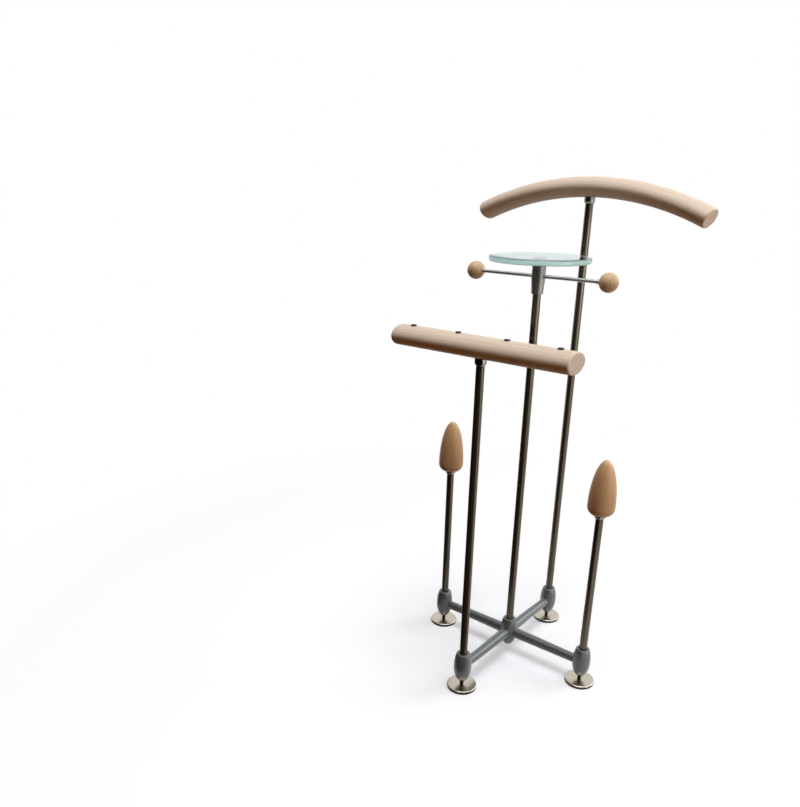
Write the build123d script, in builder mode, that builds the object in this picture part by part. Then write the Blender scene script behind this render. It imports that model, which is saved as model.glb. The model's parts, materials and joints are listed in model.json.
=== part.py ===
from build123d import *
import os
from math import asin, degrees, hypot

# A valet stand. A cast cross base on four levelling feet carries five rods: the front one holds a trouser
# bar, the middle one a glass dish and a tie bar, the rear one a jacket hanger, the side ones shoe forms.
# Sizes are in millimetres. X runs along the bars, the front is -Y, Z is the height above the floor.

# Fits: radial gaps of fixed and of turning pieces, and the end play of a swivel
slip_gap = 0.05
running_gap = 0.05
swivel_play = 0.05

# Levelling feet
foot_dia = 62.0
foot_disc_height = 4.0
foot_edge_radius = 2.0
pad_height = 3.0
pad_inset = 0.6
foot_gap = 11.0
stem_dia = 8.0
stem_bite = 3.0
foot_bush_dia = 12.0
foot_bush_length = 14.0
pocket_step = 0.5

# Cross base
arm_reach = 180.0
arm_root_dia = 23.0
arm_tip_dia = 18.5
boss_dia = 37.0
boss_rise = 32.0
boss_drop = 32.0
boss_fullness = 0.66
boss_toe_dia = 17.0
boss_rim_wall = 5.5
boss_rim_radius = 1.2
socket_depth = 30.0
socket_chamfer = 0.8
socket_floor_thickness = 6.0

# Rods, their plugs and the screws that pull them into the base
rod_dia = 16.0
rod_wall = 1.5
plug_length = 25.0
screw_dia = 6.0
screw_head_dia = 10.0
screw_head_height = 6.0
screw_reach = 20.0
screw_hole_gap = 0.3
screw_hex_width = 5.0
screw_hex_depth = 3.0

# Swivels: a stud turns in the bush at the top of a rod, kept in by a clip and carried by a washer
pivot_dia = 8.0
clip_dia = 12.0
clip_thickness = 1.2
clip_mouth = 5.0
clip_groove_depth = 1.0
clip_play = 0.3
pivot_tail = 3.0
washer_thickness = 1.0
ferrule_wall = 2.95
ferrule_lip_wall = 1.0
ferrule_height = 15.5
ferrule_skirt = 9.0
ferrule_shoulder = 4.5

# Wooden bars: an oval section, broader than it is high
bar_width = 61.0
bar_height = 38.5
bar_end_radius = 3.0
ferrule_seat = 4.0
insert_dia = 12.0
insert_length = 16.0
drill_point = 2.0

# Jacket hanger: an arc whose ends lie below its middle
hanger_height = 985.5
hanger_half_span = 241.0
hanger_rise = 51.0

# Trouser bar and its grip buttons
trouser_bar_height = 717.5
trouser_bar_length = 368.0
button_count = 4
button_pitch = 102.0
button_dia = 11.0
button_height = 3.0
button_edge_radius = 1.2
button_seat = 1.2
button_stem_dia = 6.0
button_stem_length = 8.0

# Dish hub, tie bar and balls
tie_height = 827.0
hub_dia = 26.0
hub_drop = 33.0
hub_rise = 25.0
hub_taper_drop = 7.0
hub_skirt = 14.0
hub_lip_radius = 1.0
hub_stud_bite = 12.0
tie_bar_dia = 7.0
tie_ball_reach = 141.0
tie_ball_dia = 35.0
tie_bar_bite = 3.0
tie_collar_dia = 9.5
tie_collar_length = 6.0
tie_collar_seat = 1.5
tie_collar_edge_radius = 0.8
grub_dia = 5.0
grub_length = 8.0

# Glass dish
dish_dia = 190.0
dish_thickness = 10.0
dish_edge_radius = 3.5
dish_pad_dia = 24.0
dish_pad_thickness = 1.0

# Shoe forms: a flat base, a rounded heel, a bowed flank and a round nose
shoe_base_height = 389.0
shoe_form_height = 114.0
shoe_form_dia = 54.0
shoe_heel_radius = 11.0
shoe_nose_radius = 16.0
collar_height = 6.0
collar_skirt = 4.0
collar_shoulder = 3.0
shoe_stud_bite = 20.0

# Levels of the feet and the base
foot_top = pad_height + foot_disc_height
boss_toe = foot_top + foot_gap
arm_height = boss_toe + boss_drop
boss_top = arm_height + boss_rise
rod_foot = boss_top - socket_depth
pocket_roof = rod_foot - socket_floor_thickness
bush_top = boss_toe + foot_bush_length

# Levels of the ferrules, the hub and the rod tops
bar_to_ferrule_top = bar_height / 2 - ferrule_seat
hanger_ferrule_top = hanger_height - bar_to_ferrule_top
trouser_ferrule_top = trouser_bar_height - bar_to_ferrule_top
hub_bottom = tie_height - hub_drop
hub_top = tie_height + hub_rise
dish_bottom = hub_top + dish_pad_thickness
rear_rod_top = hanger_ferrule_top - ferrule_height + ferrule_skirt
front_rod_top = trouser_ferrule_top - ferrule_height + ferrule_skirt
centre_rod_top = hub_bottom + hub_skirt
shoe_rod_top = shoe_base_height - collar_height + collar_skirt

# Radii that follow from the fits
rod_r = rod_dia / 2
bore_r = rod_r - rod_wall
plug_r = bore_r - slip_gap
pivot_r = pivot_dia / 2
pivot_hole_r = pivot_r + slip_gap
ferrule_r = rod_r + running_gap + ferrule_wall
pocket_r = foot_bush_dia / 2 - pocket_step
tie_bore_r = tie_bar_dia / 2 + slip_gap

# Where the rods stand
front, centre, rear = (0, -arm_reach), (0, 0), (0, arm_reach)
left, right = (-arm_reach, 0), (arm_reach, 0)
rod_sites = {"front": front, "centre": centre, "rear": rear, "left": left, "right": right}
foot_sites = {name: site for name, site in rod_sites.items() if site != centre}
rod_tops = {front: front_rod_top, centre: centre_rod_top, rear: rear_rod_top}

BASE = (Align.CENTER, Align.CENTER, Align.MIN)


def at(sites, height):
    """Returns the points above the given sites at one height."""
    return [(x, y, height) for x, y in sites]


def turning_plane(site):
    """Returns the plane of a turned profile: its x is the radius about the site, its y the height."""
    return Plane(origin=(*site, 0), x_dir=(1, 0, 0), z_dir=(0, -1, 0))


def spin_axis(site):
    """Returns the upright axis through a site."""
    return Axis((*site, 0), (0, 0, 1))


def keep(piece, name):
    """Labels a finished piece and writes it under its name."""
    piece.part.label = name
    export_step(piece.part, f"parts/{name}.step")


os.makedirs("parts", exist_ok=True)


# Cross base: one casting, with a socket for each rod above and a screw pocket below
def boss_profile():
    """Returns half an egg with its top cut off for the rod and its toe cut flat."""
    belly = (boss_dia / 2, arm_height)
    upper_pull = (boss_dia / 2, arm_height + boss_fullness * boss_rise)
    lower_pull = (boss_dia / 2, arm_height - boss_fullness * boss_drop)
    rim = (rod_r + boss_rim_wall, boss_top)
    toe = (boss_toe_dia / 2, boss_toe)
    with BuildSketch() as half:
        with BuildLine():
            Bezier(toe, lower_pull, belly)
            Bezier(belly, upper_pull, rim)
            Polyline(rim, (0, boss_top), (0, boss_toe), toe)
        make_face()
    return half.sketch


with BuildPart() as base_casting:
    for site in rod_sites.values():
        with BuildSketch(turning_plane(site)):
            add(boss_profile())
        revolve(axis=spin_axis(site))
    with Locations((0, 0, arm_height)):
        with PolarLocations(0, len(foot_sites)):
            Cone(arm_root_dia / 2, arm_tip_dia / 2, arm_reach, rotation=(0, 90, 0), align=BASE)
    rims = base_casting.edges().filter_by(GeomType.CIRCLE).group_by(Axis.Z)[-1]
    fillet(rims, radius=boss_rim_radius)
    with Locations(*at(rod_sites.values(), boss_top)):
        Hole(rod_r + slip_gap, socket_depth)
    mouths = base_casting.edges().filter_by(GeomType.CIRCLE).group_by(Axis.Z)[-1].group_by(SortBy.RADIUS)[0]
    chamfer(mouths, length=socket_chamfer)
    with Locations(*at(rod_sites.values(), boss_toe)):
        Cylinder(pocket_r, pocket_roof - boss_toe, align=BASE, mode=Mode.SUBTRACT)
        Cylinder(screw_dia / 2 + screw_hole_gap, rod_foot - boss_toe, align=BASE, mode=Mode.SUBTRACT)
    with Locations(*at(foot_sites.values(), boss_toe)):
        Cylinder(foot_bush_dia / 2 + slip_gap, foot_bush_length, align=BASE, mode=Mode.SUBTRACT)
keep(base_casting, "base_casting")


# Rods: drawn tubes that stand on the floors of their sockets
def make_rod(name, site, top):
    with BuildPart() as rod:
        with Locations((*site, rod_foot)):
            Cylinder(rod_r, top - rod_foot, align=BASE)
            Cylinder(bore_r, top - rod_foot, align=BASE, mode=Mode.SUBTRACT)
    keep(rod, name)


make_rod("front_rod", front, front_rod_top)
make_rod("centre_rod", centre, centre_rod_top)
make_rod("rear_rod", rear, rear_rod_top)
make_rod("left_shoe_rod", left, shoe_rod_top)
make_rod("right_shoe_rod", right, shoe_rod_top)

# Tapped plugs in the feet of the rods, and the cap screws that draw them down from below
with BuildPart() as rod_foot_plugs:
    with Locations(*at(rod_sites.values(), rod_foot)):
        Cylinder(plug_r, plug_length, align=BASE)
        Cylinder(screw_dia / 2 + slip_gap, plug_length, align=BASE, mode=Mode.SUBTRACT)
keep(rod_foot_plugs, "rod_foot_plugs")

screw_head_bottom = pocket_roof - screw_head_height
with BuildPart() as rod_screws:
    with Locations(*at(rod_sites.values(), screw_head_bottom)):
        Cylinder(screw_head_dia / 2, screw_head_height, align=BASE)
        Cylinder(screw_dia / 2, rod_foot + screw_reach - screw_head_bottom, align=BASE)
    with BuildSketch(Plane.XY.offset(screw_head_bottom)):
        with Locations(*rod_sites.values()):
            RegularPolygon(screw_hex_width / 2, 6, major_radius=False)
    extrude(amount=screw_hex_depth, mode=Mode.SUBTRACT)
keep(rod_screws, "rod_screws")

# Threaded bushes in the toes of the outer bosses
with BuildPart() as foot_thread_bushes:
    with Locations(*at(foot_sites.values(), boss_toe)):
        Cylinder(foot_bush_dia / 2, foot_bush_length, align=BASE)
        Cylinder(stem_dia / 2 + running_gap, foot_bush_length, align=BASE, mode=Mode.SUBTRACT)
keep(foot_thread_bushes, "foot_thread_bushes")


# Levelling feet: a stem that winds into its bush, a broad disc on it and a pad under the disc
def make_foot(name, site):
    stem_foot = foot_top - stem_bite
    with BuildPart() as stem:
        with Locations((*site, stem_foot)):
            Cylinder(stem_dia / 2, bush_top - stem_foot, align=BASE)
    keep(stem, f"{name}_foot_stem")

    with BuildPart() as disc:
        with Locations((*site, pad_height)):
            Cylinder(foot_dia / 2, foot_disc_height, align=BASE)
        fillet(disc.edges().filter_by(GeomType.CIRCLE).group_by(Axis.Z)[-1], radius=foot_edge_radius)
        with Locations((*site, foot_top)):
            Hole(stem_dia / 2 + running_gap, stem_bite + swivel_play)
    keep(disc, f"{name}_foot_disc")

    with BuildPart() as pad:
        with Locations((*site, 0)):
            Cylinder(foot_dia / 2 - pad_inset, pad_height, align=BASE)
    keep(pad, f"{name}_foot_pad")


for foot_name, foot_site in foot_sites.items():
    make_foot(foot_name, foot_site)

# Swivel bushes in the tops of the three tall rods, and the washers that lie on them
with BuildPart() as swivel_bushes:
    for site, top in rod_tops.items():
        with Locations((*site, top - plug_length)):
            Cylinder(plug_r, plug_length, align=BASE)
            Cylinder(pivot_r + running_gap, plug_length, align=BASE, mode=Mode.SUBTRACT)
keep(swivel_bushes, "swivel_bushes")

with BuildPart() as thrust_washers:
    for site, top in rod_tops.items():
        with Locations((*site, top)):
            Cylinder(rod_r, washer_thickness, align=BASE)
            Cylinder(pivot_hole_r, washer_thickness, align=BASE, mode=Mode.SUBTRACT)
keep(thrust_washers, "thrust_washers")


def roof_above(rod_top):
    """Returns the level of the inner face that rides on a rod's washer."""
    return rod_top + washer_thickness + swivel_play


def make_pivot(name, site, rod_top, stud_top):
    """Makes the stud that turns in a rod's bush, and the open clip in the stud's groove."""
    clip_top = rod_top - plug_length - clip_play
    clip_bottom = clip_top - clip_thickness
    groove_r = pivot_r - clip_groove_depth
    with BuildPart() as stud:
        with BuildSketch(turning_plane(site)):
            with BuildLine():
                Polyline(
                    (0, clip_bottom - pivot_tail),
                    (pivot_r, clip_bottom - pivot_tail),
                    (pivot_r, clip_bottom),
                    (groove_r, clip_bottom),
                    (groove_r, clip_top),
                    (pivot_r, clip_top),
                    (pivot_r, stud_top),
                    (0, stud_top),
                    close=True,
                )
            make_face()
        revolve(axis=spin_axis(site))
    keep(stud, f"{name}_pivot_stud")

    with BuildPart() as clip:
        with Locations((*site, clip_bottom)):
            Cylinder(clip_dia / 2, clip_thickness, align=BASE)
            Cylinder(groove_r + slip_gap, clip_thickness, align=BASE, mode=Mode.SUBTRACT)
            mouth_align = (Align.CENTER, Align.MIN, Align.MIN)
            Box(clip_mouth, clip_dia, clip_thickness, align=mouth_align, mode=Mode.SUBTRACT)
    keep(clip, f"{name}_retaining_clip")


def sleeve_profile(bottom, shoulder, roof, top, bore_gap):
    """Returns half of a cap that fits over a rod, with a rounded lower shoulder and a hole for its stud."""
    bore = rod_r + bore_gap
    lip = (bore + ferrule_lip_wall, bottom)
    with BuildSketch() as half:
        with BuildLine():
            rounded = TangentArc((ferrule_r, bottom + shoulder), lip, tangent=(0, -1))
            Polyline(
                lip,
                (bore, bottom),
                (bore, roof),
                (pivot_hole_r, roof),
                (pivot_hole_r, top),
                (ferrule_r, top),
                rounded @ 0,
            )
        make_face()
    return half.sketch


def make_ferrule(name, site, rod_top, top):
    with BuildPart() as ferrule:
        with BuildSketch(turning_plane(site)):
            bottom = top - ferrule_height
            add(sleeve_profile(bottom, ferrule_shoulder, roof_above(rod_top), top, running_gap))
        revolve(axis=spin_axis(site))
    keep(ferrule, f"{name}_ferrule")


def make_insert(name, sites, bottom):
    with BuildPart() as insert:
        with Locations(*at(sites, bottom)):
            Cylinder(insert_dia / 2, insert_length, align=BASE)
            Cylinder(pivot_hole_r, insert_length, align=BASE, mode=Mode.SUBTRACT)
    keep(insert, name)


def bore_bar(site, ferrule_top):
    """Cuts the seat of a ferrule and the hole of a threaded insert into the bar being built."""
    with Locations((*site, ferrule_top)):
        seat_align = (Align.CENTER, Align.CENTER, Align.MAX)
        Cylinder(ferrule_r + slip_gap, bar_height / 2, align=seat_align, mode=Mode.SUBTRACT)
        Cylinder(insert_dia / 2 + slip_gap, insert_length + drill_point, align=BASE, mode=Mode.SUBTRACT)


# Jacket hanger: an oval bar bent to an arc, with flat-cut ends
hanger_radius = (hanger_half_span**2 + hanger_rise**2) / (2 * hanger_rise)
hanger_half_angle = degrees(asin(hanger_half_span / hanger_radius))
with BuildPart() as jacket_hanger:
    with BuildLine(turning_plane(rear)) as hanger_path:
        arc_centre = (0, hanger_height - hanger_radius)
        CenterArc(arc_centre, hanger_radius, 90 - hanger_half_angle, 2 * hanger_half_angle)
    with BuildSketch(Plane(origin=hanger_path.line @ 0, x_dir=(0, 1, 0), z_dir=hanger_path.line % 0)):
        Ellipse(bar_width / 2, bar_height / 2)
    sweep()
    fillet(jacket_hanger.faces().filter_by(GeomType.PLANE).edges(), radius=bar_end_radius)
    bore_bar(rear, hanger_ferrule_top)
keep(jacket_hanger, "jacket_hanger")

make_ferrule("hanger", rear, rear_rod_top, hanger_ferrule_top)
make_insert("hanger_insert", [rear], hanger_ferrule_top)
make_pivot("hanger", rear, rear_rod_top, hanger_ferrule_top + insert_length)

# Trouser bar: a straight oval bar, drilled along its top for the grip buttons
trouser_bar_top = trouser_bar_height + bar_height / 2
button_floor = trouser_bar_top - button_seat
first_button = -button_pitch * (button_count - 1) / 2
button_sites = [(first_button + button_pitch * step, -arm_reach) for step in range(button_count)]
with BuildPart() as trouser_bar:
    bar_end = (-trouser_bar_length / 2, -arm_reach, trouser_bar_height)
    with BuildSketch(Plane(origin=bar_end, x_dir=(0, 1, 0), z_dir=(1, 0, 0))):
        Ellipse(bar_width / 2, bar_height / 2)
    extrude(amount=trouser_bar_length)
    fillet(trouser_bar.faces().filter_by(Axis.X).edges(), radius=bar_end_radius)
    bore_bar(front, trouser_ferrule_top)
    with Locations(*at(button_sites, button_floor)):
        Cylinder(button_dia / 2 + slip_gap, bar_height / 2, align=BASE, mode=Mode.SUBTRACT)
        Hole(button_stem_dia / 2 + slip_gap, button_stem_length + drill_point)
keep(trouser_bar, "trouser_bar")

with BuildPart() as trouser_grip_buttons:
    with Locations(*at(button_sites, button_floor)):
        Cylinder(button_dia / 2, button_seat + button_height, align=BASE)
    fillet(trouser_grip_buttons.edges().group_by(Axis.Z)[-1], radius=button_edge_radius)
    with Locations(*at(button_sites, button_floor - button_stem_length)):
        Cylinder(button_stem_dia / 2, button_stem_length, align=BASE)
keep(trouser_grip_buttons, "trouser_grip_buttons")

make_ferrule("trouser", front, front_rod_top, trouser_ferrule_top)
make_insert("trouser_insert", [front], trouser_ferrule_top)
make_pivot("trouser", front, front_rod_top, trouser_ferrule_top + insert_length)

# Dish hub: a sleeve over the middle rod that tapers below the tie bar and is cross-drilled for it
hub_roof = roof_above(centre_rod_top)
hub_r = hub_dia / 2
hub_bore_r = rod_r + running_gap
with BuildPart() as dish_hub:
    with BuildSketch(turning_plane(centre)):
        with BuildLine():
            Polyline(
                (hub_bore_r, hub_bottom),
                (ferrule_r, hub_bottom),
                (hub_r, tie_height - hub_taper_drop),
                (hub_r, hub_top),
                (0, hub_top),
                (0, hub_roof + hub_stud_bite),
                (pivot_hole_r, hub_roof + hub_stud_bite),
                (pivot_hole_r, hub_roof),
                (hub_bore_r, hub_roof),
                close=True,
            )
        make_face()
    revolve(axis=spin_axis(centre))
    lip = dish_hub.edges().filter_by(GeomType.CIRCLE).group_by(Axis.Z)[0].group_by(SortBy.RADIUS)[-1]
    fillet(lip, radius=hub_lip_radius)
    with Locations((0, 0, tie_height)):
        Cylinder(tie_bore_r, hub_dia, rotation=(0, 90, 0), mode=Mode.SUBTRACT)
        Cylinder(grub_dia / 2 + slip_gap, hub_dia, rotation=(-90, 0, 0), align=BASE, mode=Mode.SUBTRACT)
keep(dish_hub, "dish_hub")
make_pivot("hub", centre, centre_rod_top, hub_roof + hub_stud_bite - swivel_play)

with BuildPart() as dish_pad:
    with Locations((0, 0, hub_top)):
        Cylinder(dish_pad_dia / 2, dish_pad_thickness, align=BASE)
keep(dish_pad, "dish_pad")

with BuildPart() as glass_dish:
    with Locations((0, 0, dish_bottom)):
        Cylinder(dish_dia / 2, dish_thickness, align=BASE)
    fillet(glass_dish.edges().filter_by(GeomType.CIRCLE), radius=dish_edge_radius)
keep(glass_dish, "glass_dish")

# Tie bar through the hub, held by a grub screw from behind, with a drilled ball on each end
tie_half_length = tie_ball_reach + tie_bar_bite
with BuildPart() as tie_bar:
    with Locations((0, 0, tie_height)):
        Cylinder(tie_bar_dia / 2, 2 * tie_half_length, rotation=(0, 90, 0))
keep(tie_bar, "tie_bar")

tie_seat_reach = tie_ball_reach - tie_ball_dia / 2 + tie_collar_seat
for ball_name, ball_side in (("left_tie_ball", -1), ("right_tie_ball", 1)):
    with BuildPart() as tie_ball:
        with Locations((ball_side * tie_ball_reach, 0, tie_height)):
            Sphere(tie_ball_dia / 2)
        with Locations((0, 0, tie_height)):
            turn = (0, 90 * ball_side, 0)
            Cylinder(tie_bore_r, tie_half_length + slip_gap, rotation=turn, align=BASE, mode=Mode.SUBTRACT)
            seat_r = tie_collar_dia / 2 + slip_gap
            Cylinder(seat_r, tie_seat_reach, rotation=turn, align=BASE, mode=Mode.SUBTRACT)
    keep(tie_ball, ball_name)

# Small collars on the tie bar, each seated in the inner side of its ball
with BuildPart() as tie_ball_collars:
    for side in (-1, 1):
        with Locations((side * (tie_seat_reach - tie_collar_length / 2), 0, tie_height)):
            Cylinder(tie_collar_dia / 2, tie_collar_length, rotation=(0, 90, 0))
    rims = tie_ball_collars.edges().filter_by(GeomType.CIRCLE).sort_by(SortBy.DISTANCE)[:2]
    fillet(rims, radius=tie_collar_edge_radius)
    with Locations((0, 0, tie_height)):
        Cylinder(tie_bore_r, 2 * tie_half_length, rotation=(0, 90, 0), mode=Mode.SUBTRACT)
keep(tie_ball_collars, "tie_ball_collars")

with BuildPart() as tie_grub_screw:
    with Locations((0, tie_bar_dia / 2 + slip_gap, tie_height)):
        Cylinder(grub_dia / 2, grub_length, rotation=(-90, 0, 0), align=BASE)
keep(tie_grub_screw, "tie_grub_screw")


# Shoe forms, each on a stud in the top of its short rod, with a collar between them
def shoe_form_profile():
    """Returns half of a form: a flank arc leaves the heel upright and runs into the nose arc."""
    form_r = shoe_form_dia / 2
    top = shoe_base_height + shoe_form_height
    heel_top = shoe_base_height + shoe_heel_radius
    nose_height = top - shoe_nose_radius
    climb = nose_height - heel_top
    flank_r = (form_r**2 + climb**2 - shoe_nose_radius**2) / (2 * (form_r - shoe_nose_radius))
    inset = flank_r - form_r
    reach = shoe_nose_radius / hypot(inset, climb)
    nose_start = (inset * reach, nose_height + climb * reach)
    with BuildSketch() as half:
        with BuildLine():
            flat = Line((0, shoe_base_height), (form_r - shoe_heel_radius, shoe_base_height))
            heel = TangentArc(flat @ 1, (form_r, heel_top), tangent=flat % 1)
            flank = TangentArc(heel @ 1, nose_start, tangent=heel % 1)
            nose = TangentArc(flank @ 1, (0, top), tangent=flank % 1)
            Line(nose @ 1, flat @ 0)
        make_face()
    return half.sketch


shoe_sites = [left, right]
for form_name, form_site in (("left_shoe_form", left), ("right_shoe_form", right)):
    with BuildPart() as shoe_form:
        with BuildSketch(turning_plane(form_site)):
            add(shoe_form_profile())
        revolve(axis=spin_axis(form_site))
        with Locations((*form_site, shoe_base_height)):
            Cylinder(insert_dia / 2 + slip_gap, insert_length + drill_point, align=BASE, mode=Mode.SUBTRACT)
    keep(shoe_form, form_name)

make_insert("shoe_form_inserts", shoe_sites, shoe_base_height)

with BuildPart() as shoe_form_collars:
    for site in shoe_sites:
        with BuildSketch(turning_plane(site)):
            collar_bottom = shoe_base_height - collar_height
            add(sleeve_profile(collar_bottom, collar_shoulder, shoe_rod_top, shoe_base_height, slip_gap))
        revolve(axis=spin_axis(site))
keep(shoe_form_collars, "shoe_form_collars")

with BuildPart() as shoe_rod_plugs:
    with Locations(*at(shoe_sites, shoe_rod_top - plug_length)):
        Cylinder(plug_r, plug_length, align=BASE)
        Cylinder(pivot_hole_r, plug_length, align=BASE, mode=Mode.SUBTRACT)
keep(shoe_rod_plugs, "shoe_rod_plugs")

with BuildPart() as shoe_form_studs:
    with Locations(*at(shoe_sites, shoe_rod_top - shoe_stud_bite)):
        Cylinder(pivot_r, shoe_stud_bite + shoe_base_height - shoe_rod_top + insert_length, align=BASE)
keep(shoe_form_studs, "shoe_form_studs")
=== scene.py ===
"""The looks of a valet stand: surfaces, finishes and studio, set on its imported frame.

Lengths are in metres unless a name ends in mm, +Z is up, and the trouser bar is on the -Y side.
"""

import json
import logging
from dataclasses import dataclass
from enum import Enum
from math import asin, cos, pi, radians, sin

import bpy
import numpy as np
from mathutils import Matrix, Vector


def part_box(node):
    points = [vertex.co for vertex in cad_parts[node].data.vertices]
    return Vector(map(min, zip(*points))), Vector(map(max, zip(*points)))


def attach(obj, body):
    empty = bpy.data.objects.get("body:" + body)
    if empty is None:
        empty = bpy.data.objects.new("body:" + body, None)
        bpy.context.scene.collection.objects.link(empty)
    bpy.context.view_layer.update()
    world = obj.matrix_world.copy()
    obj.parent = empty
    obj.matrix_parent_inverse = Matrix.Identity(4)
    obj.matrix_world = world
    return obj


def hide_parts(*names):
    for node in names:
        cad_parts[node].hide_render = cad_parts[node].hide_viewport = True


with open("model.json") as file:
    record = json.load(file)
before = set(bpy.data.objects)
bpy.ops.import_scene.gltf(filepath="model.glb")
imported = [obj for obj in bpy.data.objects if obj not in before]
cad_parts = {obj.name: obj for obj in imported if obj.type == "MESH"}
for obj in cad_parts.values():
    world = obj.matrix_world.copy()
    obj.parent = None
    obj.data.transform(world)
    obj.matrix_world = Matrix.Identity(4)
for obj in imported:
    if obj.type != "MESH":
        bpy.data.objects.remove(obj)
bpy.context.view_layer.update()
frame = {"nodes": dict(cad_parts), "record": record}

LOG = logging.getLogger("valet_stand")
MM = 0.001
WHITE = (1.0, 1.0, 1.0, 1.0)
# An edge between faces that turn by more than this stays sharp.
SHARP_ANGLE = radians(32)
# Steps in a quarter round.
ARC_STEPS = 10
# How far from its pole a rounded piece has its last ring, in radians.
POLE_GAP = 0.012

Finishes = dict[str, bpy.types.Material]
Pair = tuple[float, float]
Point = tuple[float, float, float]


class Body(str, Enum):
    """The rigid bodies of the stand that new pieces ride on."""

    HANGER = "hanger"
    TROUSER_BAR = "trouser_bar"
    DISH = "dish"
    STAND = "stand"


class Side(Enum):
    """The two ends of a bar along X."""

    LEFT = -1
    RIGHT = 1


class ToolLines(Enum):
    """Which way the tool went over a metal piece."""

    DRAWN = "along Z"
    TURNED = "round the axis"


def linear(hex_colour: str) -> tuple[float, float, float, float]:
    """Turns an sRGB hex colour into the linear colour that a shader takes, by the sRGB curve.

    Args:
        hex_colour: six hex digits with a leading #.

    Returns:
        Red, green, blue and an alpha of one.
    """
    shares = [int(hex_colour[i : i + 2], 16) / 255 for i in (1, 3, 5)]
    red, green, blue = (s / 12.92 if s <= 0.04045 else ((s + 0.055) / 1.055) ** 2.4 for s in shares)
    return red, green, blue, 1.0


def per_metre(size_mm: float) -> float:
    """Returns how often a pattern of that size in millimetres repeats in a metre."""
    return 1.0 / (size_mm * MM)


def add_node(
    tree: bpy.types.NodeTree, kind: str, sockets: dict | None = None, **settings: object
) -> bpy.types.Node:
    """Adds a node, sets its properties, and sets or links its inputs.

    Args:
        tree: the node tree that gets the node.
        kind: the node's type name.
        sockets: input name or index to a value, or to an output socket to link.
        settings: properties of the node.

    Returns:
        The new node.
    """
    node = tree.nodes.new(kind)
    for name, value in settings.items():
        setattr(node, name, value)
    for name, value in (sockets or {}).items():
        if isinstance(value, bpy.types.NodeSocket):
            tree.links.new(value, node.inputs[name])
        else:
            node.inputs[name].default_value = value
    return node


def blank_material(name: str) -> tuple[bpy.types.Material, bpy.types.NodeTree]:
    """Makes a material with an empty node tree.

    Args:
        name: the material's name.

    Returns:
        The material and its node tree.
    """
    material = bpy.data.materials.new(name)
    material.use_nodes = True
    material.node_tree.nodes.clear()
    return material, material.node_tree


def close_material(tree: bpy.types.NodeTree, surface: bpy.types.NodeSocket) -> None:
    """Links a shader to the material's output."""
    add_node(tree, "ShaderNodeOutputMaterial", {"Surface": surface})


def stretched_noise(
    tree: bpy.types.NodeTree, place: bpy.types.NodeSocket, sizes_mm: Point, detail: float
) -> bpy.types.NodeSocket:
    """Adds a noise whose blotches have a size of their own along each coordinate.

    Args:
        tree: the material's node tree.
        place: the coordinates that the noise follows.
        sizes_mm: the size of a blotch along each of them.
        detail: how many finer layers lie on the noise.

    Returns:
        The noise, from zero to one.
    """
    scale = tuple(per_metre(size) for size in sizes_mm)
    spread = add_node(tree, "ShaderNodeVectorMath", {0: place, 1: scale}, operation="MULTIPLY")
    noise = {"Vector": spread.outputs[0], "Scale": 1.0, "Detail": detail}
    return add_node(tree, "ShaderNodeTexNoise", noise).outputs[0]


def close_patterned(
    tree: bpy.types.NodeTree,
    colour: bpy.types.NodeSocket,
    pattern: bpy.types.NodeSocket,
    gloss: Pair,
    relief: Pair,
    sockets: dict[str, float] | None = None,
) -> None:
    """Ends a material whose gloss and height follow one pattern.

    Args:
        tree: the material's node tree.
        colour: the colour of the surface.
        pattern: the pattern, from zero to one.
        gloss: the roughness at zero and at one.
        relief: the strength of the bumps, and their height in millimetres.
        sockets: the shader's other inputs, the same all over.
    """
    strength, height_mm = relief
    rough = add_node(
        tree, "ShaderNodeMapRange", {"Value": pattern, "To Min": gloss[0], "To Max": gloss[1]}
    )
    bump = add_node(
        tree, "ShaderNodeBump", {"Strength": strength, "Distance": height_mm * MM, "Height": pattern}
    )
    surface = {"Base Color": colour, "Roughness": rough.outputs[0], "Normal": bump.outputs[0]}
    shader = add_node(tree, "ShaderNodeBsdfPrincipled", surface | (sockets or {}))
    close_material(tree, shader.outputs[0])


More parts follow.
